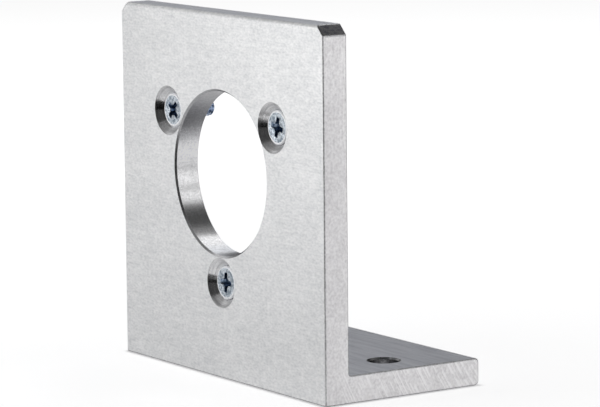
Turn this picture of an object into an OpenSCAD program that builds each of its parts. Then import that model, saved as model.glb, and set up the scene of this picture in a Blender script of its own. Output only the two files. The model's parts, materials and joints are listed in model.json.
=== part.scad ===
// Angle bracket that carries a round sensor by its face, with the three screws of the flange.
// The bracket is cut from an extruded angle: an upright plate with a spigot bore, and a foot.
// Origin: middle of the footprint, on the underside of the foot.
// X runs across the bracket, Y from the front of the plate to the end of the foot, Z upwards.

/* [Bracket] */
// Width of the cut length of angle, in mm
bracket_w = 80; // [72:1:160]
// Height of the upright plate, from the underside of the foot
plate_h = 80; // [72:1:160]
// Depth of the foot, from the front of the plate
foot_d = 40; // [34:1:120]
// Thickness of the upright plate
plate_t = 6; // [5:0.5:12]
// Thickness of the foot
foot_t = 6; // [4:0.5:12]
// Flat chamfer across each upper corner of the plate
corner_chamfer = 2.2; // [1:0.1:8]
// Rounding of the two long edges at the end of the foot
foot_end_r = 1; // [0.5:0.1:1.8]
// Fillet in the inner corner between plate and foot
inner_fillet_r = 0.6; // [0.3:0.1:5]
// Small chamfer that breaks every other outer edge
edge_break = 0.3; // [0.1:0.05:0.6]

/* [Sensor seat] */
// Height of the spigot bore's axis above the underside of the foot
bore_axis_h = 45; // [42:0.5:50]
// Diameter of the sensor's spigot
spigot_d = 36; // [16:0.5:38]
// Clearance of the spigot in its bore, on the diameter
spigot_clearance = 0.05; // [0.02:0.01:0.2]
// Chamfer of the bore at the front of the plate
bore_chamfer_front = 0.4; // [0.2:0.1:0.6]
// Chamfer of the bore at the back of the plate
bore_chamfer_back = 0.25; // [0.1:0.05:0.6]
// Diameter of the circle on which the flange screws stand
screw_circle_d = 48; // [47:0.5:58]
// Number of flange screws
screw_count = 3; // [2:1:6]
// Direction of the first screw from the bore's axis, from the +X side towards the top
first_screw_angle = 30; // [0:5:90]

/* [Flange screws] */
// Outer diameter of the thread
thread_d = 4; // [3:0.5:5]
// Clearance of each screw in its hole through the plate, on the diameter
screw_hole_clearance = 0.5; // [0.3:0.1:0.8]
// Diameter of the countersunk head
head_d = 7.5; // [6.5:0.1:8.5]
// Height of the straight rim round the head, above its cone
head_rim_h = 0.45; // [0.2:0.05:0.6]
// Rounding of the rim at the face of the head
head_rim_r = 0.15; // [0.05:0.05:0.19]
// Full angle of the head's cone and of the countersink
sink_angle = 90; // [80:1:100]
// Depth of the head's face below the front of the plate
head_depth = 1.25; // [0.2:0.05:1.6]
// Gap between the head's cone and the countersink, across the wall
head_seat_gap = 0.04; // [0.01:0.01:0.1]
// Length of thread that stands out behind the plate
screw_reach = 5.25; // [2:0.05:20]
// Chamfer at the end of the thread
thread_end_chamfer = 0.5; // [0.2:0.1:0.8]

/* [Cross recess] */
// Width across the wings of the recess at the face of the head
recess_w = 4.4; // [3.4:0.1:5]
// Depth at which the recess's outer wall turns in to its point
recess_wall_depth = 1.9; // [1.2:0.1:2.2]
// Depth of the recess at its point
recess_depth = 2.5; // [2.3:0.1:2.8]
// Width of one wing at the face of the head
wing_top_w = 1.15; // [0.8:0.05:1.4]
// Width of one wing at the bottom of the recess
wing_bottom_w = 0.8; // [0.5:0.05:1]
// Lean of the recess's outer wall from the screw's axis
recess_lean = 26.5; // [20:0.5:30]
// Diameter of the cone that clears the middle of the recess, at the face of the head
recess_core_d = 2.4; // [1.6:0.1:2.8]
// Diameter of that cone at the level of the recess's point
recess_core_floor_d = 1.2; // [0.6:0.1:1.5]
// How far each screw stands turned, in degrees, first screw first
screw_turns = [-12, 50, -2]; // [-90:1:90]

/* [Foot holes] */
// Diameter of the two fixing holes in the foot
foot_hole_d = 6.6; // [4.5:0.1:9]
// Distance of each fixing hole from the side of the bracket
foot_hole_inset = 10; // [8:0.5:20]
// Distance of the fixing holes from the end of the foot
foot_hole_setback = 18; // [8:0.5:20]
// Chamfer at both rims of a fixing hole
foot_hole_chamfer = 0.4; // [0.1:0.05:0.6]

/* [Hidden] */
$fn = 96;

// Depth past a face that makes a cut run out cleanly
overcut = 1;
// The plate's two faces and the end of the foot, with the footprint centred on the origin
front_y = -foot_d / 2;
back_y = front_y + plate_t;
end_y = front_y + foot_d;
bore_d = spigot_d + spigot_clearance;
screw_hole_d = thread_d + screw_hole_clearance;

// A cone that leans by half the sink angle gains this much radius for each mm of depth
sink_slope = tan(sink_angle / 2);
// Radial room that gives the seat gap across the wall
seat_room = head_seat_gap / cos(sink_angle / 2);
// Countersink, from the head that it seats and the head's depth
sink_d = head_d + 2 * seat_room + 2 * sink_slope * (head_depth + head_rim_h);
sink_depth = (sink_d - screw_hole_d) / 2 / sink_slope;
// The screw, measured from the face of its head
head_cone_h = (head_d - thread_d) / 2 / sink_slope;
screw_l = plate_t - head_depth + screw_reach;

// The recess, measured from the face of the head: its outer wall, centre cone and wings
recess_slope = tan(recess_lean);
recess_floor_d = recess_w - 2 * recess_wall_depth * recess_slope;
core_slope = (recess_core_d - recess_core_floor_d) / recess_depth;
wing_slope = (wing_top_w - wing_bottom_w) / recess_depth;

// Rectangle from the origin with both corners of its upper and lower side broken
module broken_rect(w, h, lower, upper) {
    polygon([
        [lower, 0], [w - lower, 0], [w, lower], [w, h - upper],
        [w - upper, h], [upper, h], [0, h - upper], [0, lower]
    ]);
}

// Stands a flat outline up: its x stays X, its y becomes Z, and it grows backwards from the front
module upright(depth) {
    translate([0, front_y + depth, 0])
        rotate([90, 0, 0])
            linear_extrude(depth)
                children();
}

// Lays a profile across the bracket: its x becomes Y, its y becomes Z, and it grows along +X
module across(length) {
    translate([-length / 2, 0, 0])
        rotate([90, 0, 90])
            linear_extrude(length)
                children();
}

// Upright plate: front outline, side profile and plan meet, so every edge comes out broken
module plate_blank() {
    intersection() {
        upright(plate_t)
            translate([-bracket_w / 2, 0])
                broken_rect(bracket_w, plate_h, edge_break, corner_chamfer);
        across(bracket_w)
            translate([front_y, 0])
                broken_rect(plate_t, plate_h, edge_break, edge_break);
        translate([-bracket_w / 2, front_y, 0])
            linear_extrude(plate_h)
                broken_rect(bracket_w, plate_t, edge_break, edge_break);
    }
}

// Side profile of the foot: a broken edge under the plate, rounded ones at the free end
module foot_profile() {
    polygon([
        [front_y + edge_break, 0], [end_y - foot_end_r, 0], [end_y - foot_end_r, foot_t],
        [front_y, foot_t], [front_y, edge_break]
    ]);
    translate([end_y - 2 * foot_end_r, foot_end_r])
        square([2 * foot_end_r, foot_t - 2 * foot_end_r]);
    for (z = [foot_end_r, foot_t - foot_end_r])
        translate([end_y - foot_end_r, z])
            circle(foot_end_r);
}

// Foot: front outline, side profile and plan meet as on the plate
module foot_blank() {
    intersection() {
        upright(foot_d)
            translate([-bracket_w / 2, 0])
                broken_rect(bracket_w, foot_t, edge_break, edge_break);
        across(bracket_w)
            foot_profile();
        translate([-bracket_w / 2, front_y, 0])
            linear_extrude(foot_t)
                broken_rect(bracket_w, foot_d, edge_break, edge_break);
    }
}

// Fillet that the extrusion leaves in the inner corner, sunk into both walls
module corner_fillet() {
    across(bracket_w - 2 * edge_break)
        difference() {
            translate([back_y - edge_break, foot_t - edge_break])
                square(inner_fillet_r + edge_break);
            translate([back_y + inner_fillet_r, foot_t + inner_fillet_r])
                circle(inner_fillet_r);
        }
}

// Places its children on the bore's axis at the front of the plate, with their z pointing backwards
module on_bore_axis() {
    translate([0, front_y, bore_axis_h])
        rotate([-90, 0, 0])
            children();
}

// Places its children at each flange screw, with their z pointing backwards
module at_screws() {
    for (i = [0 : screw_count - 1]) {
        angle = first_screw_angle + i * 360 / screw_count;
        $turn = screw_turns[i % len(screw_turns)];
        on_bore_axis()
            rotate([0, 0, -angle])
                translate([screw_circle_d / 2, 0, 0])
                    rotate([0, 0, angle])
                        children();
    }
}

// Spigot bore with its chamfers
module bore_cut() {
    translate([0, 0, -overcut])
        cylinder(d = bore_d, h = plate_t + 2 * overcut);
    translate([0, 0, -overcut])
        cylinder(
            d1 = bore_d + 2 * bore_chamfer_front + 2 * overcut,
            d2 = bore_d,
            h = bore_chamfer_front + overcut
        );
    translate([0, 0, plate_t - bore_chamfer_back])
        cylinder(
            d1 = bore_d,
            d2 = bore_d + 2 * bore_chamfer_back + 2 * overcut,
            h = bore_chamfer_back + overcut
        );
}

// Through hole and countersink of one flange screw
module screw_cut() {
    translate([0, 0, -overcut])
        cylinder(d = screw_hole_d, h = plate_t + 2 * overcut);
    translate([0, 0, -overcut])
        cylinder(
            d1 = sink_d + 2 * overcut * sink_slope,
            d2 = screw_hole_d,
            h = sink_depth + overcut
        );
}

// Fixing hole of the foot with a chamfer at both rims
module foot_hole_cut() {
    rim_d = foot_hole_d + 2 * foot_hole_chamfer;
    translate([0, 0, -overcut])
        cylinder(d = foot_hole_d, h = foot_t + 2 * overcut);
    translate([0, 0, -overcut])
        cylinder(d1 = rim_d + 2 * overcut, d2 = foot_hole_d, h = foot_hole_chamfer + overcut);
    translate([0, 0, foot_t - foot_hole_chamfer])
        cylinder(d1 = foot_hole_d, d2 = rim_d + 2 * overcut, h = foot_hole_chamfer + overcut);
}

// The bracket, one piece of extruded aluminium
module bracket() {
    color([0.83, 0.84, 0.85])
        difference() {
            union() {
                plate_blank();
                foot_blank();
                corner_fillet();
            }
            on_bore_axis()
                bore_cut();
            at_screws()
                screw_cut();
            for (side = [-1, 1])
                translate([side * (bracket_w / 2 - foot_hole_inset), end_y - foot_hole_setback, 0])
                    foot_hole_cut();
        }
}

// Solid of revolution of one screw: face, rounded rim, cone, thread and end, along z
module screw_blank() {
    rotate_extrude() {
        translate([0, head_rim_r])
            square([head_d / 2, head_rim_h - head_rim_r]);
        square([head_d / 2 - head_rim_r, head_rim_h]);
        translate([head_d / 2 - head_rim_r, head_rim_r])
            circle(head_rim_r);
        polygon([
            [0, head_rim_h],
            [head_d / 2, head_rim_h],
            [thread_d / 2, head_rim_h + head_cone_h],
            [thread_d / 2, screw_l - thread_end_chamfer],
            [thread_d / 2 - thread_end_chamfer, screw_l],
            [0, screw_l]
        ]);
    }
}

// One pair of opposite wings, with walls that close in towards the bottom
module wing_pair() {
    mouth_w = wing_top_w + wing_slope * overcut;
    translate([-recess_w, 0, 0])
        rotate([90, 0, 90])
            linear_extrude(2 * recess_w)
                polygon([
                    [-mouth_w / 2, -overcut],
                    [mouth_w / 2, -overcut],
                    [wing_bottom_w / 2, recess_depth],
                    [-wing_bottom_w / 2, recess_depth]
                ]);
}

// Solid of revolution that holds the whole recess: a leaning wall, then the point
module recess_envelope() {
    mouth_r = recess_w / 2 + recess_slope * overcut;
    rotate_extrude()
        polygon([
            [0, -overcut],
            [mouth_r, -overcut],
            [recess_floor_d / 2, recess_wall_depth],
            [0, recess_depth]
        ]);
}

// Cross recess: four wings and a centre cone, held inside the envelope
module recess_cut() {
    intersection() {
        recess_envelope();
        union() {
            wing_pair();
            rotate([0, 0, 90])
                wing_pair();
            translate([0, 0, -overcut])
                cylinder(
                    d1 = recess_core_d + core_slope * overcut,
                    d2 = recess_core_floor_d,
                    h = recess_depth + overcut
                );
        }
    }
}

// The flange screws, each a solid of its own
module flange_screws() {
    color([0.76, 0.80, 0.86])
        at_screws()
            translate([0, 0, head_depth])
                difference() {
                    screw_blank();
                    rotate([0, 0, -$turn])
                        recess_cut();
                }
}

bracket();
flange_screws();
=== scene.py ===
# %% [markdown]
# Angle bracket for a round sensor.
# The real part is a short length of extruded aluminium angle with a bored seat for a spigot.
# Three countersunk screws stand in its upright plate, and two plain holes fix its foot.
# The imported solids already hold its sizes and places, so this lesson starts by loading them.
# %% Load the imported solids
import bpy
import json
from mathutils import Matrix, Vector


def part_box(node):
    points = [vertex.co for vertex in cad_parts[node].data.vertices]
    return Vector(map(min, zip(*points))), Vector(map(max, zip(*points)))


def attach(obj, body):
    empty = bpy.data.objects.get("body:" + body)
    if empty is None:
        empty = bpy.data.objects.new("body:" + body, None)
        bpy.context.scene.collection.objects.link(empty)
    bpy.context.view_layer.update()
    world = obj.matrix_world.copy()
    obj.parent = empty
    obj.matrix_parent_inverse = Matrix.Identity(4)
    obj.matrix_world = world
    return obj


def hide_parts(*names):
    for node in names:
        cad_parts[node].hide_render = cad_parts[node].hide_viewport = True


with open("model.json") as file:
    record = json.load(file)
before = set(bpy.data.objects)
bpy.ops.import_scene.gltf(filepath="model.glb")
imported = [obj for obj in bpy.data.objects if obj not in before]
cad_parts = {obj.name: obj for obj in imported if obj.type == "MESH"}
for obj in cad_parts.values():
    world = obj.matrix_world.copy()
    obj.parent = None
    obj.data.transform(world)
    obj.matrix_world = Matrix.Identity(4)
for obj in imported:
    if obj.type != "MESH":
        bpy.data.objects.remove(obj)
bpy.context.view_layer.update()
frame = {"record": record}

# %% [markdown]
# Blender works in metres, and a workshop drawing in millimetres.
# One factor for a millimetre lets each value below read as a drawing would state it.
# Outer sizes come from the solids, and the bores and the screw circle from the mounts.
# The mount of the foot's holes lies halfway through the foot, which gives its thickness.
# Only what neither of them states, such as the plate's thickness or a chamfer, is written here.
# %% Sizes of the bracket
import json
import math

import bmesh
import bpy
from mathutils import Matrix, Vector

MM = 0.001
mounts = {mount["name"]: mount for mount in frame["record"]["mounts"]}

bracket_low, bracket_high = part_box("bracket")
half_w = bracket_high.x
front_y = bracket_low.y
end_y = bracket_high.y
plate_h = bracket_high.z
plate_t = 6 * MM
back_y = front_y + plate_t
foot_holes = mounts["foot_holes"]
foot_t = 2 * foot_holes["pos_m"][2]

corner_chamfer = 2.2 * MM
foot_end_r = 1.0 * MM
front_top_r = 0.8 * MM
inner_fillet_r = 0.6 * MM
edge_break = 0.3 * MM
print("bracket:", half_w * 2, "wide,", plate_h, "high,", end_y - front_y, "deep")

# %% [markdown]
# The first screw stands 30 degrees above the bore's right side, and the others at equal steps.
# Heads and countersinks are cones of 90 degrees, which lose as much radius as they gain depth.
# The gap between the two cones is measured square to them, hence the root of two.
# %% Sizes of the bores and screws
bore = mounts["spigot_bore"]
bore_z = bore["pos_m"][2]
bore_r = bore["dims"]["r_mm"] * MM
bore_chamfer_front = 0.4 * MM
bore_chamfer_back = 0.25 * MM

foot_hole_r = foot_holes["dims"]["hole_r_mm"] * MM
foot_hole_x = foot_holes["dims"]["spacing_x_mm"] / 2 * MM
foot_hole_y = foot_holes["pos_m"][1]
foot_hole_chamfer = 0.4 * MM

studs = mounts["flange_studs"]["dims"]
thread_r = studs["stud_r_mm"] * MM
screw_circle_r = studs["pcd_mm"] / 2 * MM
screw_count = studs["count"]
first_screw_angle = math.radians(30)
screw_hole_room = 0.25 * MM
screw_hole_r = thread_r + screw_hole_room
head_r = 3.75 * MM
head_rim_h = 0.45 * MM
head_depth = 1.25 * MM
seat_gap = 0.04 * MM
sink_r = head_r + seat_gap * math.sqrt(2) + head_depth + head_rim_h
print("bore radius", bore_r, "countersink radius", sink_r)

# %% [markdown]
# The camera comes early, because every later step is judged through it.
# Its place, its angles and its long lens were worked out from the straight edges and the round
# rims in the photograph, which is 600 pixels wide.
# A turn about Z, a tilt and a small roll are easier to read than a matrix.
# %% Camera
IMAGE_W = 600
focal_length_px = 3402
view_point = (0.6154, -0.4140, 0.1435)
view_turn = math.radians(56.01)
view_tilt = math.radians(8.19)
view_roll = math.radians(0.56)

camera_data = bpy.data.cameras.new("camera")
camera_data.sensor_width = 36
camera_data.lens = focal_length_px / IMAGE_W * camera_data.sensor_width
camera_data.clip_start = 0.05
camera_data.clip_end = 20
camera = bpy.data.objects.new("camera", camera_data)
bpy.context.scene.collection.objects.link(camera)
camera.matrix_world = (
    Matrix.Translation(view_point)
    @ Matrix.Rotation(view_turn, 4, "Z")
    @ Matrix.Rotation(math.radians(90) - view_tilt, 4, "X")
    @ Matrix.Rotation(-view_roll, 4, "Z")
)
bpy.context.scene.camera = camera
bpy.context.scene.view_settings.view_transform = "Standard"
print("lens", round(camera_data.lens, 1), "mm")

# %% [markdown]
# Metal looks the way its surroundings look, so the studio is built before any finish.
# Each lamp is a soft panel, placed by the direction in which the bracket's middle sees it.
# The azimuth counts from the +X side towards +Y, and the panel's two sizes are angles too.
# A panel's radiance is how bright it looks in a mirror, where 1 is white.
# An area lamp is set in watts, and four watts on a square metre give a radiance of 1.
# %% Helper for a soft panel
WATTS_ON_M2 = 4
middle = Vector((0, 0, bore_z))

def soft_panel(name, azimuth, elevation, wide, high, radiance, distance=0.8, colour=(1, 1, 1)):
    """An area lamp that faces the bracket's middle, unseen by the camera; angles are degrees."""
    around = math.radians(azimuth)
    up = math.radians(elevation)
    direction = Vector((
        math.cos(around) * math.cos(up), math.sin(around) * math.cos(up), math.sin(up),
    ))
    data = bpy.data.lights.new(name, "AREA")
    data.shape = "RECTANGLE"
    data.size = 2 * distance * math.cos(up) * math.tan(math.radians(wide) / 2)
    data.size_y = 2 * distance * math.tan(math.radians(high) / 2)
    data.energy = WATTS_ON_M2 * data.size * data.size_y * radiance
    data.color = colour
    lamp = bpy.data.objects.new(name, data)
    bpy.context.scene.collection.objects.link(lamp)
    facing = (-direction).to_track_quat("-Z", "Y").to_matrix().to_4x4()
    lamp.matrix_world = Matrix.Translation(middle + direction * distance) @ facing
    lamp.visible_camera = False

# %% [markdown]
# The plate's front mirrors what stands low on its left, so three near panels go there, brightest
# in the middle; because they are near, the right end of the plate gets more of them.
# The one above them has a halo, so that it ends softly in the countersinks.
# The side mirrors right_near, and rims that face up mirror left_high and left_rim.
# The bore shows the whole room in one strip: right_high is its bright side, back_top its bright
# foot, and the dim gap at back_edge its dark band, which the chamfered corner mirrors too.
# The foot's top mirrors back_left, which is a little cooler, like daylight from a window.
# %% Soft panels
cool = (0.94, 0.965, 1.0)
soft_panel("front_left_outer", 225, 9, 20, 24, 0.80, distance=0.40)
soft_panel("front_left", 240, 9, 14, 24, 1.80, distance=0.38)
soft_panel("front_left_inner", 254, 9, 14, 24, 1.10, distance=0.36)
soft_panel("front_left_high", 250, 33, 36, 17, 0.26, distance=0.40)
soft_panel("front_left_halo", 250, 33, 46, 27, 0.18, distance=0.40)
soft_panel("left_high", 222, 50, 76, 34, 0.10)
soft_panel("left_rim", 194, 27, 36, 30, 0.62)
soft_panel("right_near", 10, 10, 50, 20, 1.04, distance=0.40)
soft_panel("right_high", 45, 30, 60, 16, 0.78)
soft_panel("back_edge", 95, 52, 20, 23, 0.17)
soft_panel("back_top", 126, 54, 30, 23, 0.95)
soft_panel("back_left", 150, 33, 30, 23, 0.72, colour=cool)

# %% [markdown]
# A few helpers keep the node trees short: an empty material, a sum or product of sockets, a
# change of range, the three parts of a vector, and the share of light that a background gives.
# The camera sees the background as plain white, and metal and glass see some of it too.
# %% Helpers for node trees
def new_material(name):
    """A material with an empty node tree, that tree, and its output node."""
    material = bpy.data.materials.new(name)
    material.use_nodes = True
    tree = material.node_tree
    tree.nodes.clear()
    return material, tree, tree.nodes.new("ShaderNodeOutputMaterial")

def arithmetic(tree, operation, *values):
    """A Math node fed by numbers or by other sockets; gives back its result."""
    node = tree.nodes.new("ShaderNodeMath")
    node.operation = operation
    for socket, value in zip(node.inputs, values):
        if isinstance(value, bpy.types.NodeSocket):
            tree.links.new(value, socket)
        else:
            socket.default_value = value
    return node.outputs["Value"]

def remap(tree, value, low, high, to_low=0.0, to_high=1.0):
    """A value between low and high, moved to a new range and held inside it."""
    node = tree.nodes.new("ShaderNodeMapRange")
    node.inputs["From Min"].default_value = low
    node.inputs["From Max"].default_value = high
    node.inputs["To Min"].default_value = to_low
    node.inputs["To Max"].default_value = to_high
    tree.links.new(value, node.inputs["Value"])
    return node.outputs["Result"]

def parts_of(tree, vector):
    """The X, Y and Z of a vector, each as a socket."""
    node = tree.nodes.new("ShaderNodeSeparateXYZ")
    tree.links.new(vector, node.inputs["Vector"])
    return node.outputs

def background_light(tree, to_camera, to_mirrors, to_all):
    """Strength of a background for the camera, for metal and glass, and for every ray."""
    path = tree.nodes.new("ShaderNodeLightPath")
    reflected = path.outputs["Is Glossy Ray"]
    mirrors = arithmetic(tree, "ADD", reflected, path.outputs["Is Transmission Ray"])
    others = arithmetic(tree, "MULTIPLY_ADD", mirrors, to_mirrors, to_all)
    return arithmetic(tree, "MULTIPLY_ADD", path.outputs["Is Camera Ray"], to_camera, others)

# %% [markdown]
# A bmesh is the bench on which a mesh is made, and an object then puts it into the scene.
# Each face says by a number which of its object's finishes it has, so the order of the list
# of finishes matters.
# %% Helpers for objects
def new_object(name, bm):
    """Puts a bmesh into an object of its own."""
    mesh = bpy.data.meshes.new(name)
    bm.to_mesh(mesh)
    bm.free()
    obj = bpy.data.objects.new(name, mesh)
    bpy.context.scene.collection.objects.link(obj)
    return obj

def give_finishes(obj, finishes):
    """Puts a list of finishes on an object, in order."""
    for finish in finishes:
        obj.data.materials.append(finish)

# %% [markdown]
# The background of the photograph is plain white, and the floor keeps a soft shadow.
# The floor is pale paper that the panels light, with some light of its own for the camera, and
# more of it farther away, where the lamps don't reach.
# Close to the bracket that light fades, which paints a contact shadow: the dark line where an
# object touches.
# Metal sees less of that light, and most of it beside the right end, a painted pool of light where
# the paper is brightest.
# %% Paper
contact_shadow_w = 1.1 * MM
contact_shade = 0.45
painted_light_spot_x = 75 * MM
painted_light_spot_y = 50 * MM

def matt_surface(tree, colour):
    """A matt shader of one plain colour."""
    shader = tree.nodes.new("ShaderNodeBsdfDiffuse")
    shader.inputs["Color"].default_value = (*colour, 1)
    return shader.outputs["BSDF"]

def distance_from(tree, place, x, y):
    """How far each spot of the floor is from a point on it."""
    away = tree.nodes.new("ShaderNodeVectorMath")
    away.operation = "DISTANCE"
    away.inputs[1].default_value = (x, y, 0)
    tree.links.new(place, away.inputs[0])
    return away.outputs["Value"]

def distance_from_footprint(tree, place):
    """How far each spot of the floor lies from the outline of the bracket's footprint."""
    parts = parts_of(tree, place)
    half_d = (end_y - front_y) / 2
    along_y = arithmetic(tree, "SUBTRACT", parts["Y"], (front_y + end_y) / 2)
    beside = arithmetic(tree, "SUBTRACT", arithmetic(tree, "ABSOLUTE", parts["X"]), half_w)
    before = arithmetic(tree, "SUBTRACT", arithmetic(tree, "ABSOLUTE", along_y), half_d)
    return arithmetic(tree, "ABSOLUTE", arithmetic(tree, "MAXIMUM", beside, before))

def white_paper():
    """Pale matt paper with a glow of its own, a painted contact shadow and a painted pool of light.
    """
    material, tree, output = new_material("paper")
    place = tree.nodes.new("ShaderNodeTexCoord").outputs["Object"]
    from_outline = distance_from_footprint(tree, place)
    from_middle = distance_from(tree, place, 0, 0)
    from_painted_light_spot = distance_from(tree, place, painted_light_spot_x, painted_light_spot_y)
    # Painted contact shadow: the glow fades towards the footprint's outline, for the camera and for
    # mirrors.
    contact = remap(tree, from_outline, 0, contact_shadow_w, to_low=contact_shade)
    seen = remap(tree, from_middle, 50 * MM, 350 * MM, to_low=0.77, to_high=0.92)
    # Painted pool of light that only mirrors see, brightest beside the right end.
    painted_light_for_mirrors = remap(tree, from_painted_light_spot, 20 * MM, 120 * MM, to_low=0.64, to_high=0.445)
    to_camera = arithmetic(tree, "MULTIPLY", contact, seen)
    to_mirrors = arithmetic(tree, "MULTIPLY", contact, painted_light_for_mirrors)
    glow = tree.nodes.new("ShaderNodeEmission")
    glow.inputs["Color"].default_value = (1, 1, 1, 1)
    tree.links.new(background_light(tree, to_camera, to_mirrors, 0), glow.inputs["Strength"])
    both = tree.nodes.new("ShaderNodeAddShader")
    tree.links.new(matt_surface(tree, (0.85, 0.85, 0.86)), both.inputs[0])
    tree.links.new(glow.outputs["Emission"], both.inputs[1])
    tree.links.new(both.outputs["Shader"], output.inputs["Surface"])
    return material

# %% [markdown]
# A photographer lays a black card beside bright metal, so that its edges and countersinks
# get a dark side, and the long card here does the same: only shiny surfaces see it.
# Floor and card are level sheets, and both belong to the stage, not to the part.
# %% Floor and dark card
floor_reach = 4
floor_corners = [
    (-floor_reach, -floor_reach), (floor_reach, -floor_reach),
    (floor_reach, floor_reach), (-floor_reach, floor_reach),
]
card_height = 0.5 * MM
card_corners = [
    (0.008, -0.094), (0.65, -3.9), (3.87, -3.9), (0.066, -0.108), (0.050, -0.097), (0.014, -0.050),
]

def black_card():
    """Card that gives back almost no light."""
    material, tree, output = new_material("black_card")
    tree.links.new(matt_surface(tree, (0.02, 0.02, 0.02)), output.inputs["Surface"])
    return material

def flat_sheet(name, corners, height, material):
    """A level sheet with its corners given from above, anticlockwise; it belongs to the stage."""
    bm = bmesh.new()
    bm.faces.new([bm.verts.new((x, y, height)) for x, y in corners])
    sheet = new_object(name, bm)
    give_finishes(sheet, [material])
    return sheet

flat_sheet("floor", floor_corners, 0, white_paper())
card = flat_sheet("dark_card", card_corners, card_height, black_card())
card.visible_camera = False
card.visible_diffuse = False
card.visible_transmission = False
card.visible_shadow = False
print("stage: a floor, and a dark card with", len(card_corners), "corners")

# %% [markdown]
# The world is the far end of the studio.
# It is nearly white to the camera and nearly dark to metal, so the panels, the paper and the
# card shape the reflections.
# %% World
world = bpy.data.worlds.new("studio")
bpy.context.scene.world = world
world.use_nodes = True
tree = world.node_tree
tree.nodes.clear()
output = tree.nodes.new("ShaderNodeOutputWorld")
room = tree.nodes.new("ShaderNodeBackground")
room.inputs["Color"].default_value = (1, 1, 1, 1)
room_light = background_light(tree, to_camera=0.95, to_mirrors=0.05, to_all=0.01)
tree.links.new(room_light, room.inputs["Strength"])
tree.links.new(room.outputs["Background"], output.inputs["Surface"])
print("world:", world.name)

# %% [markdown]
# Every texture here reads Object coordinates, turned into millimetres.
# A stretch draws the grain out along one axis, as a die or a tool draws its marks.
# Noise is the raw material of all marks, and a narrowed range gives it more contrast.
# %% Helpers for textures
def object_mm(tree, stretch=(1, 1, 1)):
    """Object coordinates in millimetres, drawn out along each axis by its stretch."""
    coordinates = tree.nodes.new("ShaderNodeTexCoord")
    mapping = tree.nodes.new("ShaderNodeMapping")
    mapping.inputs["Scale"].default_value = [1 / (MM * s) for s in stretch]
    tree.links.new(coordinates.outputs["Object"], mapping.inputs["Vector"])
    return mapping.outputs["Vector"]

def turned_and_stretched(tree, vector, degrees, stretch):
    """Coordinates turned about all three axes and then drawn out."""
    turn = tree.nodes.new("ShaderNodeMapping")
    turn.inputs["Rotation"].default_value = [math.radians(angle) for angle in degrees]
    tree.links.new(vector, turn.inputs["Vector"])
    draw = tree.nodes.new("ShaderNodeMapping")
    draw.inputs["Scale"].default_value = [1 / s for s in stretch]
    tree.links.new(turn.outputs["Vector"], draw.inputs["Vector"])
    return draw.outputs["Vector"]

def noise(tree, vector, per_mm, detail=2):
    """Soft noise about 0.5, with a number of waves for each millimetre."""
    texture = tree.nodes.new("ShaderNodeTexNoise")
    texture.inputs["Scale"].default_value = per_mm
    texture.inputs["Detail"].default_value = detail
    tree.links.new(vector, texture.inputs["Vector"])
    return texture.outputs["Fac"]

def weighted(tree, *pairs, start=0.0):
    """The sum of a start and of sockets, each times its own weight."""
    total = start
    for weight, socket in pairs:
        total = arithmetic(tree, "MULTIPLY_ADD", socket, weight, total)
    return total

# %% [markdown]
# Four effects serve all the metals, and each is a node group that is built once.
# Grain is the fine mottle of a machined or drawn skin, and clouds are its slow changes.
# Most of the noise lies between 0.3 and 0.7, so that range becomes the whole effect.
# %% Grain and clouds
noise_range = (0.3, 0.7)

def new_effect(name, result):
    """A node group from a vector to one number, and its two ends."""
    tree = bpy.data.node_groups.new(name, "ShaderNodeTree")
    tree.interface.new_socket("Vector", in_out="INPUT", socket_type="NodeSocketVector")
    tree.interface.new_socket(result, in_out="OUTPUT", socket_type="NodeSocketFloat")
    vector = tree.nodes.new("NodeGroupInput").outputs["Vector"]
    return tree, vector, tree.nodes.new("NodeGroupOutput").inputs[result]

def grain_effect():
    """Fine mottle over a coarser one."""
    tree, vector, end = new_effect("grain", "Grain")
    fine = remap(tree, noise(tree, vector, per_mm=2.2), *noise_range)
    coarse = remap(tree, noise(tree, vector, per_mm=0.8, detail=1), *noise_range)
    tree.links.new(weighted(tree, (0.7, fine), (0.3, coarse)), end)
    return tree

def clouds_effect():
    """Patches of about a centimetre."""
    tree, vector, end = new_effect("clouds", "Clouds")
    tree.links.new(remap(tree, noise(tree, vector, per_mm=0.12), *noise_range), end)
    return tree

grain = grain_effect()
clouds = clouds_effect()
print("effects:", grain.name, clouds.name)

# %% [markdown]
# Scratches are the few bright lines that handling leaves.
# Noise that is drawn out far makes thin lines where it is highest, and a slower noise chooses
# the few places that have them.
# %% Scratches
scratch_directions = [(10, 55, 0), (0, -40, 10)]
scratch_stretch = (3.2, 0.3, 0.14)

def scratches_effect():
    """Short lines in two directions, in a few places only."""
    tree, vector, end = new_effect("scratches", "Scratches")
    total = 0.0
    for degrees in scratch_directions:
        drawn = turned_and_stretched(tree, vector, degrees, scratch_stretch)
        lines = remap(tree, noise(tree, drawn, per_mm=1, detail=0), 0.76, 0.82)
        total = arithmetic(tree, "MAXIMUM", lines, total)
    where = remap(tree, noise(tree, vector, per_mm=0.07, detail=1), 0.5, 0.62)
    tree.links.new(arithmetic(tree, "MULTIPLY", total, where), end)
    return tree

scratches = scratches_effect()
print("effect:", scratches.name)

# %% [markdown]
# Saw lines are arcs round the place where the saw's spindle stood when the angle was cut off.
# A noise with one dimension, read at the distance from the spindle, makes rings about it.
# %% Saw lines
spindle_y_mm = 104
spindle_z_mm = 60
saw_lines_per_mm = 1.6

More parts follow.
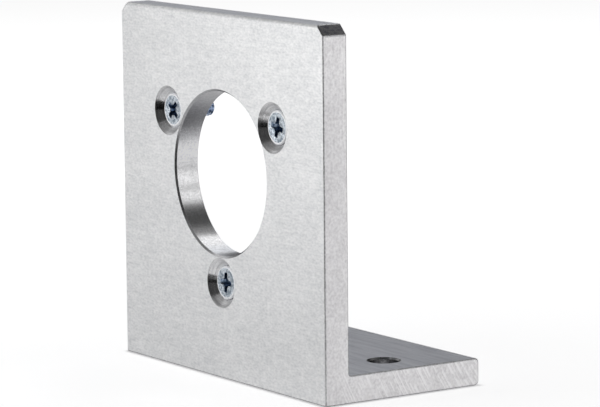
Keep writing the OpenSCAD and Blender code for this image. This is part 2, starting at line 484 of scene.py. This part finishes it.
def saw_effect():
    """Arcs about the spindle, broken up into patches."""
    tree, vector, end = new_effect("saw_lines", "Lines")
    parts = parts_of(tree, vector)
    aside = arithmetic(tree, "SUBTRACT", parts["Y"], spindle_y_mm)
    above = arithmetic(tree, "SUBTRACT", parts["Z"], spindle_z_mm)
    above_squared = arithmetic(tree, "MULTIPLY", above, above)
    squares = arithmetic(tree, "MULTIPLY_ADD", aside, aside, above_squared)
    rings = tree.nodes.new("ShaderNodeTexNoise")
    rings.noise_dimensions = "1D"
    rings.inputs["Scale"].default_value = saw_lines_per_mm
    rings.inputs["Detail"].default_value = 1
    tree.links.new(arithmetic(tree, "SQRT", squares), rings.inputs["W"])
    lines = remap(tree, rings.outputs["Fac"], 0.50, 0.62)
    patches = remap(tree, noise(tree, vector, per_mm=0.3), 0.40, 0.54)
    tree.links.new(arithmetic(tree, "MULTIPLY", lines, patches), end)
    return tree

saw_lines = saw_effect()
print("all effects:", ", ".join(group.name for group in bpy.data.node_groups))

# %% [markdown]
# All finishes end the same way: a tone from 0 to 1 picks the colour and the roughness, and the
# same tone is the relief of the skin.
# High spots are rubbed bright and smooth, and hollows stay darker and rougher.
# %% Helpers for finishes
def use_effect(tree, effect, vector):
    """An effect at work on a vector inside a material; gives back its result."""
    node = tree.nodes.new("ShaderNodeGroup")
    node.node_tree = effect
    tree.links.new(vector, node.inputs["Vector"])
    return node.outputs[0]

def drawn_grain(tree, *stretch):
    """Grain on the object, drawn out along X, Y and Z."""
    return use_effect(tree, grain, object_mm(tree, stretch))

def finish_metal(tree, output, tone, dark, light, roughness, relief, duller=0.0):
    """Bare metal whose colour, roughness and relief follow a tone; duller adds roughness."""
    shader = tree.nodes.new("ShaderNodeBsdfPrincipled")
    shader.inputs["Metallic"].default_value = 1
    ramp = tree.nodes.new("ShaderNodeValToRGB")
    ramp.color_ramp.elements[0].color = (*dark, 1)
    ramp.color_ramp.elements[1].color = (*light, 1)
    tree.links.new(tone, ramp.inputs["Fac"])
    tree.links.new(ramp.outputs["Color"], shader.inputs["Base Color"])
    rough_low, rough_high = roughness
    rough = arithmetic(tree, "ADD", remap(tree, tone, 0, 1, rough_high, rough_low), duller)
    tree.links.new(rough, shader.inputs["Roughness"])
    bump = tree.nodes.new("ShaderNodeBump")
    bump.inputs["Distance"].default_value = relief
    tree.links.new(tone, bump.inputs["Height"])
    tree.links.new(bump.outputs["Normal"], shader.inputs["Normal"])
    tree.links.new(shader.outputs["BSDF"], output.inputs["Surface"])

# %% [markdown]
# The plate and the foot keep the skin of the extrusion, a fine mottle with short streaks
# along X, the way that the metal left the die.
# On the faces that look up, the streaks are longer and there is less mottle between them.
# %% Skin of the extrusion
def extruded_face():
    """The front, the back and the underside, with a few scratches."""
    material, tree, output = new_material("extruded_face")
    plain = object_mm(tree)
    tone = weighted(
        tree,
        (1.00, drawn_grain(tree, 2.0, 1, 1)),
        (0.35, drawn_grain(tree, 9, 0.9, 0.9)),
        (0.20, use_effect(tree, clouds, plain)),
        (0.45, use_effect(tree, scratches, plain)),
        start=-0.27,
    )
    finish_metal(
        tree, output, tone, dark=(0.74, 0.75, 0.76), light=(1.0, 1.0, 1.0),
        roughness=(0.38, 0.46), relief=0.006 * MM,
    )
    return material

def drawn_top():
    """The faces that look up."""
    material, tree, output = new_material("drawn_top")
    tone = weighted(
        tree,
        (0.30, drawn_grain(tree, 1, 1, 1)),
        (1.10, drawn_grain(tree, 40, 3.6, 3.6)),
        (0.50, drawn_grain(tree, 16, 1.6, 1.6)),
        start=-0.45,
    )
    finish_metal(
        tree, output, tone, dark=(0.65, 0.655, 0.70), light=(0.93, 0.935, 0.975),
        roughness=(0.36, 0.46), relief=0.004 * MM,
    )
    return material

# %% [markdown]
# The two sides are where the saw cut the angle off, a little warmer in tone.
# Its arcs show on the end of the foot, and upright streaks on the upper part of the plate's end.
# A file or a tumbler broke the edges, and they are coloured darker than the faces, which is painted
# shade.
# %% Sawn sides and broken edges
def sawn_side():
    """The two sawn ends of the angle."""
    material, tree, output = new_material("sawn_side")
    plain = object_mm(tree)
    parts = parts_of(tree, plain)
    on_foot = remap(tree, parts["Y"], back_y / MM - 3, back_y / MM + 3)
    high_up = remap(tree, parts["Z"], 40, 65)
    arcs = arithmetic(tree, "MULTIPLY", use_effect(tree, saw_lines, plain), on_foot)
    streaks = arithmetic(tree, "SUBTRACT", drawn_grain(tree, 1, 0.9, 12), 0.5)
    tone = weighted(
        tree,
        (1.00, drawn_grain(tree, 1, 1.3, 1.3)),
        (0.25, use_effect(tree, clouds, plain)),
        (0.90, arcs),
        # Painted light: the foot's end is a little lighter than the plate's end.
        (0.08, on_foot),
        (0.45, arithmetic(tree, "MULTIPLY", streaks, high_up)),
        start=-0.15,
    )
    finish_metal(
        tree, output, tone, dark=(0.74, 0.725, 0.74), light=(1.0, 0.99, 1.0),
        roughness=(0.36, 0.48), relief=0.008 * MM,
    )
    return material

def broken_edge():
    """The narrow bevels along the outer edges."""
    material, tree, output = new_material("broken_edge")
    tone = drawn_grain(tree, 1, 1, 1)
    # Painted shade: the darker colour gives the dark lines along the edges and the contact shadow
    # at the bottom.
    finish_metal(
        tree, output, tone, dark=(0.40, 0.40, 0.41), light=(0.76, 0.76, 0.77),
        roughness=(0.28, 0.40), relief=0.004 * MM,
    )
    return material

# %% [markdown]
# A boring tool, a countersink, a drill and a milling cutter each leave marks of their own.
# The bore has a finely speckled wall with faint streaks along its axis.
# Its upper part is darker and duller, and so is the lower half of its front chamfer, both painted
# shade.
# %% Wall of the bore
def bored_wall():
    """The spigot's seat and its chamfers; levels count from the bore's axis."""
    material, tree, output = new_material("bored_wall")
    parts = parts_of(tree, object_mm(tree))
    axis_level = bore_z / MM
    chamfer_end = (front_y + bore_chamfer_front) / MM
    on_chamfer = remap(tree, parts["Y"], chamfer_end + 0.03, chamfer_end - 0.03)
    painted_shade_lower_half = remap(tree, parts["Z"], axis_level - 3, axis_level - 8)
    painted_shade_upper = remap(tree, parts["Z"], axis_level + 4.5, axis_level + 10)
    tone = weighted(
        tree,
        (0.36, drawn_grain(tree, 0.8, 1.0, 0.8)),
        (0.12, drawn_grain(tree, 0.7, 9, 0.7)),
        # Painted shade: the upper wall and the lower half of the front chamfer get a darker,
        # rougher tone.
        (-0.54, painted_shade_upper),
        (-0.40, arithmetic(tree, "MULTIPLY", on_chamfer, painted_shade_lower_half)),
        start=0.42,
    )
    finish_metal(
        tree, output, tone, dark=(0.40, 0.40, 0.415), light=(0.99, 0.99, 1.0),
        roughness=(0.22, 0.30), relief=0.0002 * MM,
    )
    return material

# %% [markdown]
# The countersinks have fine rings: a cone's rings lie at one depth each, so grain that is drawn
# out along X and Z, and left fine along Y, makes them.
# The tool chattered a little, so each countersink is duller above and below its screw.
# The upper screws stand one and a half circle radii above the lower one, so levels that wrap
# round at that spacing treat all three alike.
# %% Countersinks
def above_and_below_screws(tree, vector):
    """Extra roughness that grows away from the level of the nearest screw."""
    low_screw = (bore_z - screw_circle_r) / MM
    spacing = 1.5 * screw_circle_r / MM
    clear_level = low_screw - 0.4
    level = arithmetic(
        tree, "WRAP", parts_of(tree, vector)["Z"], low_screw + spacing / 2, low_screw - spacing / 2,
    )
    away = arithmetic(tree, "ABSOLUTE", arithmetic(tree, "SUBTRACT", level, clear_level))
    return remap(tree, away, 2.3, 4.0, 0.0, 0.24)

def countersunk_wall():
    """The three cones that the heads sit in, and the holes below them."""
    material, tree, output = new_material("countersunk_wall")
    plain = object_mm(tree)
    rings = drawn_grain(tree, 24, 0.7, 24)
    marks = weighted(tree, (0.7, rings), (0.3, use_effect(tree, grain, plain)))
    tone = remap(tree, marks, 0.25, 0.75)
    finish_metal(
        tree, output, tone, dark=(0.54, 0.54, 0.55), light=(0.95, 0.95, 0.96),
        roughness=(0.12, 0.20), relief=0.0004 * MM, duller=above_and_below_screws(tree, plain),
    )
    return material

# %% [markdown]
# Each hole's wall has painted light and shade: a dark crescent of painted shadow at one rim, a band
# of painted highlight, and painted shade on the other side.
# A distance across the hole, in millimetres from its middle, says which side a spot is on, and
# the size of X without its sign serves the hole at the other end of the foot as well.
# The middle of the upper chamfer is darker than its ends, which is painted shade too.
# %% Drilled holes
painted_light_axis_x = 0.56
painted_light_axis_y = 0.83

def drilled_wall():
    """The two fixing holes of the foot."""
    material, tree, output = new_material("drilled_wall")
    parts = parts_of(tree, object_mm(tree))
    hole_middle = (painted_light_axis_x * foot_hole_x + painted_light_axis_y * foot_hole_y) / MM
    across = weighted(
        tree,
        (painted_light_axis_x, arithmetic(tree, "ABSOLUTE", parts["X"])),
        (painted_light_axis_y, parts["Y"]),
        start=-hole_middle,
    )
    # Painted shadow, painted highlight and painted shade follow one another across the hole.
    past_painted_shadow = remap(tree, across, -3.1, -2.7)
    past_painted_highlight = remap(tree, across, -1.0, -0.2)
    painted_shade_side = remap(tree, across, 1.5, 2.2)
    past_left_end = remap(tree, across, -1.8, -1.2)
    before_right_end = remap(tree, across, 1.8, 1.2)
    in_middle = arithmetic(tree, "MULTIPLY", past_left_end, before_right_end)
    chamfer_end = (foot_t - foot_hole_chamfer) / MM
    on_chamfer = remap(tree, parts["Z"], chamfer_end - 0.08, chamfer_end + 0.08)
    tone = weighted(
        tree,
        (0.20, drawn_grain(tree, 24, 24, 0.7)),
        (0.95, past_painted_shadow),
        (-0.40, past_painted_highlight),
        (-0.50, painted_shade_side),
        (-0.45, arithmetic(tree, "MULTIPLY", on_chamfer, in_middle)),
        start=-0.05,
    )
    finish_metal(
        tree, output, tone, dark=(0.16, 0.16, 0.17), light=(0.99, 0.99, 1.0),
        roughness=(0.20, 0.30), relief=0.0004 * MM,
    )
    return material

# %% [markdown]
# The two upper corners were milled off after the saw, which left short marks across them.
# With the last cut surface made, all the bracket's finishes go into one list, and each place in
# the list gets a name.
# %% Milled corners and the list of finishes
def milled_corner():
    """The flat chamfers of the plate's two upper corners."""
    material, tree, output = new_material("milled_corner")
    tone = remap(tree, drawn_grain(tree, 1.1, 2.4, 1.1), 0.22, 0.78)
    finish_metal(
        tree, output, tone, dark=(0.40, 0.40, 0.46), light=(1.0, 1.0, 1.0),
        roughness=(0.20, 0.30), relief=0.001 * MM,
    )
    return material

bracket_finishes = [
    extruded_face(), sawn_side(), broken_edge(), bored_wall(), countersunk_wall(), drilled_wall(),
    milled_corner(), drawn_top(),
]
FACE, SIDE, EDGE, BORE, SINK, DRILL, CORNER, TOP = range(len(bracket_finishes))
print("finishes of the bracket:", ", ".join(finish.name for finish in bracket_finishes))

# %% [markdown]
# Zinc plating turns steel a mottled grey-blue, and the walls of the recess are coloured darker,
# which is painted shade.
# The last value of each is how large its mottle is, where 1 is the size of the bracket's grain.
# %% Finishes of the screws
def zinc(name, dark, light, roughness, size):
    """Plated steel in one of its tones."""
    material, tree, output = new_material(name)
    mottle = remap(tree, drawn_grain(tree, size, size, size), *noise_range)
    finish_metal(tree, output, mottle, dark, light, roughness, relief=0.003 * MM)
    return material

screw_finishes = [
    zinc("zinc_head", (0.25, 0.30, 0.355), (0.69, 0.745, 0.80), (0.24, 0.36), 1.3),
    # Painted shade: the recess is coloured darker than the head.
    zinc("zinc_recess", (0.06, 0.10, 0.17), (0.36, 0.45, 0.58), (0.20, 0.32), 0.8),
    zinc("zinc_thread", (0.12, 0.18, 0.30), (0.66, 0.74, 0.88), (0.14, 0.24), 0.9),
    # Painted highlight: the rim is coloured near white.
    zinc("zinc_rim_painted_highlight", (0.92, 0.94, 0.97), (0.99, 0.99, 1.0), (0.48, 0.56), 0.7),
]
HEAD, RECESS, THREAD, RIM = range(len(screw_finishes))
print("finishes of the screws:", ", ".join(finish.name for finish in screw_finishes))

# %% [markdown]
# The bracket starts as the end face of the extrusion, an L of six corners.
# One extrusion across gives the whole length of angle.
# %% Blank of the bracket
bm = bmesh.new()
l_profile = [
    (front_y, 0), (end_y, 0), (end_y, foot_t),
    (back_y, foot_t), (back_y, plate_h), (front_y, plate_h),
]
end_face = bm.faces.new([bm.verts.new((-half_w, y, z)) for y, z in l_profile])
far_end = bmesh.ops.extrude_face_region(bm, geom=[end_face])["geom"]
far_verts = [v for v in far_end if isinstance(v, bmesh.types.BMVert)]
bmesh.ops.translate(bm, verts=far_verts, vec=(2 * half_w, 0, 0))
bmesh.ops.recalc_face_normals(bm, faces=bm.faces)
print("blank:", len(bm.faces), "faces")

# %% [markdown]
# A bevel needs its edges first, and edges are found most safely by where they lie.
# Lengths are compared with a little room, because no computed place is quite exact.
# %% Helpers for edges
ROOM = 0.01 * MM
PARALLEL = 0.99

def near(a, b):
    """Whether two lengths are the same."""
    return abs(a - b) < ROOM

def edges_where(bm, test):
    """The edges of a bmesh whose two ends both pass a test."""
    return [e for e in bm.edges if all(test(v.co) for v in e.verts)]

def along(axis, edge):
    """Whether an edge runs along an axis, 0 for X, 1 for Y and 2 for Z."""
    direction = (edge.verts[1].co - edge.verts[0].co).normalized()
    return abs(direction[axis]) > PARALLEL

def bevel_edges(bm, edges, width, segments):
    """Bevels edges with a circular profile and returns the new faces."""
    return bmesh.ops.bevel(
        bm, geom=edges, offset=width, offset_type="OFFSET", segments=segments,
        profile=0.5, affect="EDGES", material=-1, clamp_overlap=True,
    )["faces"]

# %% [markdown]
# Four larger shapes come before the fine edges: the flat chamfer across each upper corner, the
# rounded end of the foot, the fillet that the die leaves in the inner corner, and the plate's
# front top edge, which the die has rounded more than any other.
# %% Corners, rounded end, fillet and top edge
corners = [e for e in edges_where(bm, lambda co: near(co.z, plate_h)) if along(1, e)]
bevel_edges(bm, corners, corner_chamfer, segments=1)
foot_end = [e for e in edges_where(bm, lambda co: near(co.y, end_y)) if along(0, e)]
bevel_edges(bm, foot_end, foot_end_r, segments=4)
inner = edges_where(bm, lambda co: near(co.y, back_y) and near(co.z, foot_t))
bevel_edges(bm, inner, inner_fillet_r, segments=4)
front_top = edges_where(bm, lambda co: near(co.y, front_y) and near(co.z, plate_h))
bevel_edges(bm, front_top, front_top_r, segments=6)
print("after the corners:", len(bm.faces), "faces")

# %% [markdown]
# Every outer edge that is still sharp is broken by a fine file or a tumbler.
# The faces get their finish first, because a bevel's own faces then take the edge's finish.
# %% Broken edges
LEANING = 0.5
bracket_sharp_angle = 40

for face in bm.faces:
    if abs(face.normal.x) > PARALLEL:
        face.material_index = SIDE
    elif abs(face.normal.x) > LEANING:
        face.material_index = CORNER
    else:
        face.material_index = TOP if face.normal.z > PARALLEL else FACE
least_angle = math.radians(bracket_sharp_angle)
sharp = [e for e in bm.edges if e.is_convex and e.calc_face_angle(0) > least_angle]
for face in bevel_edges(bm, sharp, edge_break, segments=3):
    face.material_index = EDGE

bracket = new_object("angle_bracket", bm)
give_finishes(bracket, bracket_finishes)
print("after the broken edges:", len(bracket.data.polygons), "faces")

# %% [markdown]
# Each bore is turned on a lathe of its own here: a half outline spun round an axis.
# It stands out past both faces, so that its chamfers run out cleanly where it cuts.
# A spin leaves a heap of vertices at each pole, and these are welded into one.
# %% Turned solids
OVERCUT = 1 * MM
TINY = 0.0001 * MM

def turned(bm, profile, material, steps, place=Matrix.Identity(4)):
    """Spins (radius, height) points about Z into a closed solid in bm, and moves it into place."""
    verts = [bm.verts.new((r, 0, z)) for r, z in profile]
    edges = [bm.edges.new(pair) for pair in zip(verts, verts[1:])]
    before = set(bm.faces)
    bmesh.ops.spin(
        bm, geom=verts + edges, cent=(0, 0, 0), axis=(0, 0, 1), dvec=(0, 0, 0),
        angle=math.tau, steps=steps, use_merge=True,
    )
    faces = [f for f in bm.faces if f not in before]
    for face in faces:
        face.material_index = material
    verts = list({v for f in faces for v in f.verts})
    bmesh.ops.remove_doubles(bm, verts=verts, dist=TINY)
    faces = [f for f in faces if f.is_valid]
    bmesh.ops.recalc_face_normals(bm, faces=faces)
    verts = list({v for f in faces for v in f.verts})
    bmesh.ops.transform(bm, matrix=place, verts=verts)

# %% [markdown]
# The lathe's axis is Z, so each cutter is made upright and then laid into the bracket.
# The bore's frame has its Z pointing into the plate, and the screws stand on a circle in it.
# %% Frames of the bore and the screws
bore_frame = Matrix.Translation((0, front_y, bore_z)) @ Matrix.Rotation(math.radians(-90), 4, "X")

def screw_places():
    """The frame of each screw, with its Z pointing into the plate."""
    for i in range(screw_count):
        angle = first_screw_angle + i * math.tau / screw_count
        offset = Vector((math.cos(angle), -math.sin(angle), 0)) * screw_circle_r
        yield bore_frame @ Matrix.Translation(offset)

print("screws at", [[round(c, 4) for c in place.translation] for place in screw_places()])

# %% [markdown]
# Six cutters share one bmesh: the bore, three countersinks and two drilled holes.
# The larger a cutter is, the more steps its round takes, so that every rim looks smooth.
# %% Cutters
cut = bmesh.new()
bore_profile = [
    (0, -OVERCUT), (bore_r + bore_chamfer_front + OVERCUT, -OVERCUT),
    (bore_r, bore_chamfer_front), (bore_r, plate_t - bore_chamfer_back),
    (bore_r + bore_chamfer_back + OVERCUT, plate_t + OVERCUT), (0, plate_t + OVERCUT),
]
turned(cut, bore_profile, BORE, steps=192, place=bore_frame)
sink_profile = [
    (0, -OVERCUT), (sink_r + OVERCUT, -OVERCUT), (screw_hole_r, sink_r - screw_hole_r),
    (screw_hole_r, plate_t + OVERCUT), (0, plate_t + OVERCUT),
]
for place in screw_places():
    turned(cut, sink_profile, SINK, steps=96, place=place)
hole_profile = [
    (0, -OVERCUT), (foot_hole_r + foot_hole_chamfer + OVERCUT, -OVERCUT),
    (foot_hole_r, foot_hole_chamfer), (foot_hole_r, foot_t - foot_hole_chamfer),
    (foot_hole_r + foot_hole_chamfer + OVERCUT, foot_t + OVERCUT), (0, foot_t + OVERCUT),
]
for x in (-foot_hole_x, foot_hole_x):
    turned(cut, hole_profile, DRILL, steps=64, place=Matrix.Translation((x, foot_hole_y, 0)))
print("cutters:", len(cut.faces), "faces")

# %% [markdown]
# An exact Boolean takes all the cutters out at once, and its result replaces the bracket's mesh.
# The cut walls keep the finish of the cutter that made them.
# %% Cut the bracket
def combine(target, tool, operation, overlapping=False):
    """Applies an exact Boolean to the target's own mesh and removes the tool."""
    modifier = target.modifiers.new("combine", "BOOLEAN")
    modifier.operation = operation
    modifier.solver = "EXACT"
    modifier.use_self = overlapping
    modifier.object = tool
    depsgraph = bpy.context.evaluated_depsgraph_get()
    result = bpy.data.meshes.new_from_object(target.evaluated_get(depsgraph))
    target.modifiers.clear()
    old = target.data
    name = old.name
    target.data = result
    bpy.data.meshes.remove(old)
    result.name = name
    bpy.data.objects.remove(tool)

combine(bracket, new_object("cutters", cut), "DIFFERENCE")
print("cut bracket:", len(bracket.data.polygons), "faces")

# %% [markdown]
# A Boolean leaves tiny gaps and slivers, so the mesh is welded before it is shaded.
# Angles over 40 degrees stay sharp, and weighted normals keep the large faces flat beside
# their small bevels.
# %% Clean and shade
boolean_gap = 0.001 * MM

def clean_and_shade(obj, sharp_angle):
    """Welds what a Boolean left apart, and shades everything but the sharp edges smoothly."""
    bm = bmesh.new()
    bm.from_mesh(obj.data)
    bmesh.ops.remove_doubles(bm, verts=bm.verts, dist=boolean_gap)
    bmesh.ops.dissolve_degenerate(bm, edges=bm.edges, dist=TINY)
    open_edges = sum(not e.is_manifold for e in bm.edges)
    bm.to_mesh(obj.data)
    bm.free()
    for polygon in obj.data.polygons:
        polygon.use_smooth = True
    obj.data.set_sharp_from_angle(angle=math.radians(sharp_angle))
    weighting = obj.modifiers.new("weighted_normals", "WEIGHTED_NORMAL")
    weighting.keep_sharp = True
    weighting.weight = 100
    print(obj.name, len(obj.data.polygons), "faces,", open_edges, "open edges")

clean_and_shade(bracket, bracket_sharp_angle)
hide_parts("bracket")
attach(bracket, "root")

# %% [markdown]
# A screw is turned as one blank: face, rounded rim, cone, thread and chamfered end.
# Its outline is measured from the middle of its face, with the height pointing into the plate.
# A narrow flat ring lies inside the rounded rim, and the whole rim is coloured near white, a
# painted highlight.
# The crest of the thread stays a little inside the nominal size, as a real one does.
# %% Screw blank
past_plate = 5.25 * MM
screw_l = plate_t - head_depth + past_plate
head_round_r = 0.35 * MM
head_round_steps = 4
rim_flat_w = 0.16 * MM
face_r = head_r - head_round_r - rim_flat_w
thread_end_chamfer = 0.5 * MM
crest_room = 0.02 * MM
crest_r = thread_r - crest_room
cone_end = head_rim_h + head_r - crest_r

def screw_profile():
    """Half outline of the screw from the middle of its face to the middle of its end."""
    points = [(0, 0), (face_r, 0)]
    for step in range(head_round_steps + 1):
        angle = math.radians(90 - 90 * step / head_round_steps)
        points.append((
            head_r - head_round_r + head_round_r * math.cos(angle),
            head_round_r - head_round_r * math.sin(angle),
        ))
    points += [
        (head_r, head_rim_h), (crest_r, cone_end), (crest_r, screw_l - thread_end_chamfer),
        (crest_r - thread_end_chamfer, screw_l), (0, screw_l),
    ]
    return points

print("screw:", round(screw_l / MM, 2), "mm long, outline of", len(screw_profile()), "points")

# %% [markdown]
# The groove between two threads is a small trapezium that climbs one pitch in each turn.
# It is 0.613 of the pitch deep, with an eighth of the pitch left flat at the crest and a quarter
# at the root, so its flanks lean nearly 30 degrees, as those of a metric thread do.
# Swept along its helix the groove is a closed spring, and cut from the blank it leaves the thread.
# %% Thread groove
thread_pitch = 0.7 * MM
thread_depth = 0.613 * thread_pitch
crest_flat = thread_pitch / 8
root_flat = thread_pitch / 4
flank_angle = math.radians(30)
groove_proud = 0.04 * MM
groove_steps = 48

def thread_groove(start, turns):
    """The groove between two threads, swept along its helix from a height."""
    bm = bmesh.new()
    root_r = crest_r - thread_depth
    mouth_r = crest_r + groove_proud
    mouth = (thread_pitch - crest_flat) / 2 + groove_proud * math.tan(flank_angle)
    outline = [
        (root_r, -root_flat / 2), (root_r, root_flat / 2), (mouth_r, mouth), (mouth_r, -mouth),
    ]
    verts = [bm.verts.new((r, 0, start + z)) for r, z in outline]
    face = bm.faces.new(verts)
    bmesh.ops.spin(
        bm, geom=[face] + list(face.edges) + verts, cent=(0, 0, 0), axis=(0, 0, 1),
        dvec=(0, 0, thread_pitch / groove_steps), angle=math.tau * turns,
        steps=int(turns * groove_steps),
    )
    bmesh.ops.recalc_face_normals(bm, faces=bm.faces)
    for face in bm.faces:
        face.material_index = THREAD
    return new_object("groove", bm)

# %% [markdown]
# A cross recess is what two crossed wings and a middle cone have in common with a leaning
# envelope that ends in a point.
# The punch that makes it on the real screw has just that shape.
# %% Cross recess
recess_w = 4.4 * MM
recess_wall_depth = 1.9 * MM
recess_depth = 2.5 * MM
recess_lean = math.radians(26.5)
wing_l = 3 * recess_w
wing_top_w = 1.15 * MM
wing_bottom_w = 0.8 * MM
core_top_r = 1.2 * MM
core_bottom_r = 0.6 * MM

def recess_envelope():
    """The solid of revolution that holds the whole recess."""
    slope = math.tan(recess_lean)
    profile = [
        (0, -OVERCUT), (recess_w / 2 + slope * OVERCUT, -OVERCUT),
        (recess_w / 2 - slope * recess_wall_depth, recess_wall_depth), (0, recess_depth),
    ]
    bm = bmesh.new()
    turned(bm, profile, RECESS, steps=64)
    return new_object("recess", bm)

def recess_wings():
    """Two crossed wings that narrow towards the bottom, and the cone in their middle."""
    bm = bmesh.new()
    wing_widen = (wing_top_w - wing_bottom_w) / recess_depth * OVERCUT
    for turn in (0, 90):
        wing = bmesh.ops.create_cube(bm, size=1)["verts"]
        for vert in wing:
            at_mouth = vert.co.z < 0
            vert.co.x *= wing_l
            vert.co.y *= (wing_top_w + wing_widen) if at_mouth else wing_bottom_w
            vert.co.z = -OVERCUT if at_mouth else recess_depth
        turn_matrix = Matrix.Rotation(math.radians(turn), 3, "Z")
        bmesh.ops.rotate(bm, verts=wing, cent=(0, 0, 0), matrix=turn_matrix)
    core_widen = (core_top_r - core_bottom_r) / recess_depth * OVERCUT
    core_profile = [
        (0, -OVERCUT), (core_top_r + core_widen, -OVERCUT),
        (core_bottom_r, recess_depth), (0, recess_depth),
    ]
    turned(bm, core_profile, RECESS, steps=48)
    for face in bm.faces:
        face.material_index = RECESS
    return new_object("wings", bm)

# %% [markdown]
# The plating rounds the mouth of the recess, which then catches the light.
# The edges of the mouth are those between a face of the head and a face of the recess.
# %% Softened mouth
mouth_round = 0.06 * MM
mouth_gap = 0.005 * MM

def soften_mouth(obj):
    """Rounds the edge between the face of the head and its recess."""
    bm = bmesh.new()
    bm.from_mesh(obj.data)
    bmesh.ops.remove_doubles(bm, verts=bm.verts, dist=mouth_gap)
    mouth = [e for e in bm.edges if {f.material_index for f in e.link_faces} == {HEAD, RECESS}]
    for face in bevel_edges(bm, mouth, mouth_round, segments=2):
        face.material_index = HEAD
    bm.to_mesh(obj.data)
    bm.free()

# %% [markdown]
# Each screw gets its finishes, its thread and its recess, and is then set down on its seat.
# The first bit of shank below the cone stays plain, and the groove runs out past the end.
# Every screw was driven until it was tight, so each recess stands at an angle of its own.
# %% Screws
screw_turns = [-12, 50, -2]
screw_sharp_angle = 35
plain_shank_l = 0.6 * MM
groove_start = cone_end + plain_shank_l
groove_turns = (screw_l - groove_start) / thread_pitch + 1

def flange_screw(number, place, turn):
    """One finished screw in its place, with its recess turned by an angle in degrees."""
    bm = bmesh.new()
    turned(bm, screw_profile(), HEAD, steps=96)
    for face in bm.faces:
        centre = face.calc_center_median()
        if centre.z > head_rim_h:
            face.material_index = THREAD
        elif centre.xy.length > face_r:
            face.material_index = RIM
    screw = new_object(f"flange_screw_{number}", bm)
    give_finishes(screw, screw_finishes)
    combine(screw, thread_groove(groove_start, groove_turns), "DIFFERENCE")
    recess = recess_envelope()
    give_finishes(recess, screw_finishes)
    combine(recess, recess_wings(), "INTERSECT", overlapping=True)
    combine(screw, recess, "DIFFERENCE")
    soften_mouth(screw)
    down_to_seat = Matrix.Translation((0, 0, head_depth))
    screw.data.transform(place @ down_to_seat @ Matrix.Rotation(math.radians(-turn), 4, "Z"))
    clean_and_shade(screw, screw_sharp_angle)
    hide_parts("flange_screws")
    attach(screw, "root")

for number, (place, turn) in enumerate(zip(screw_places(), screw_turns), start=1):
    flange_screw(number, place, turn)
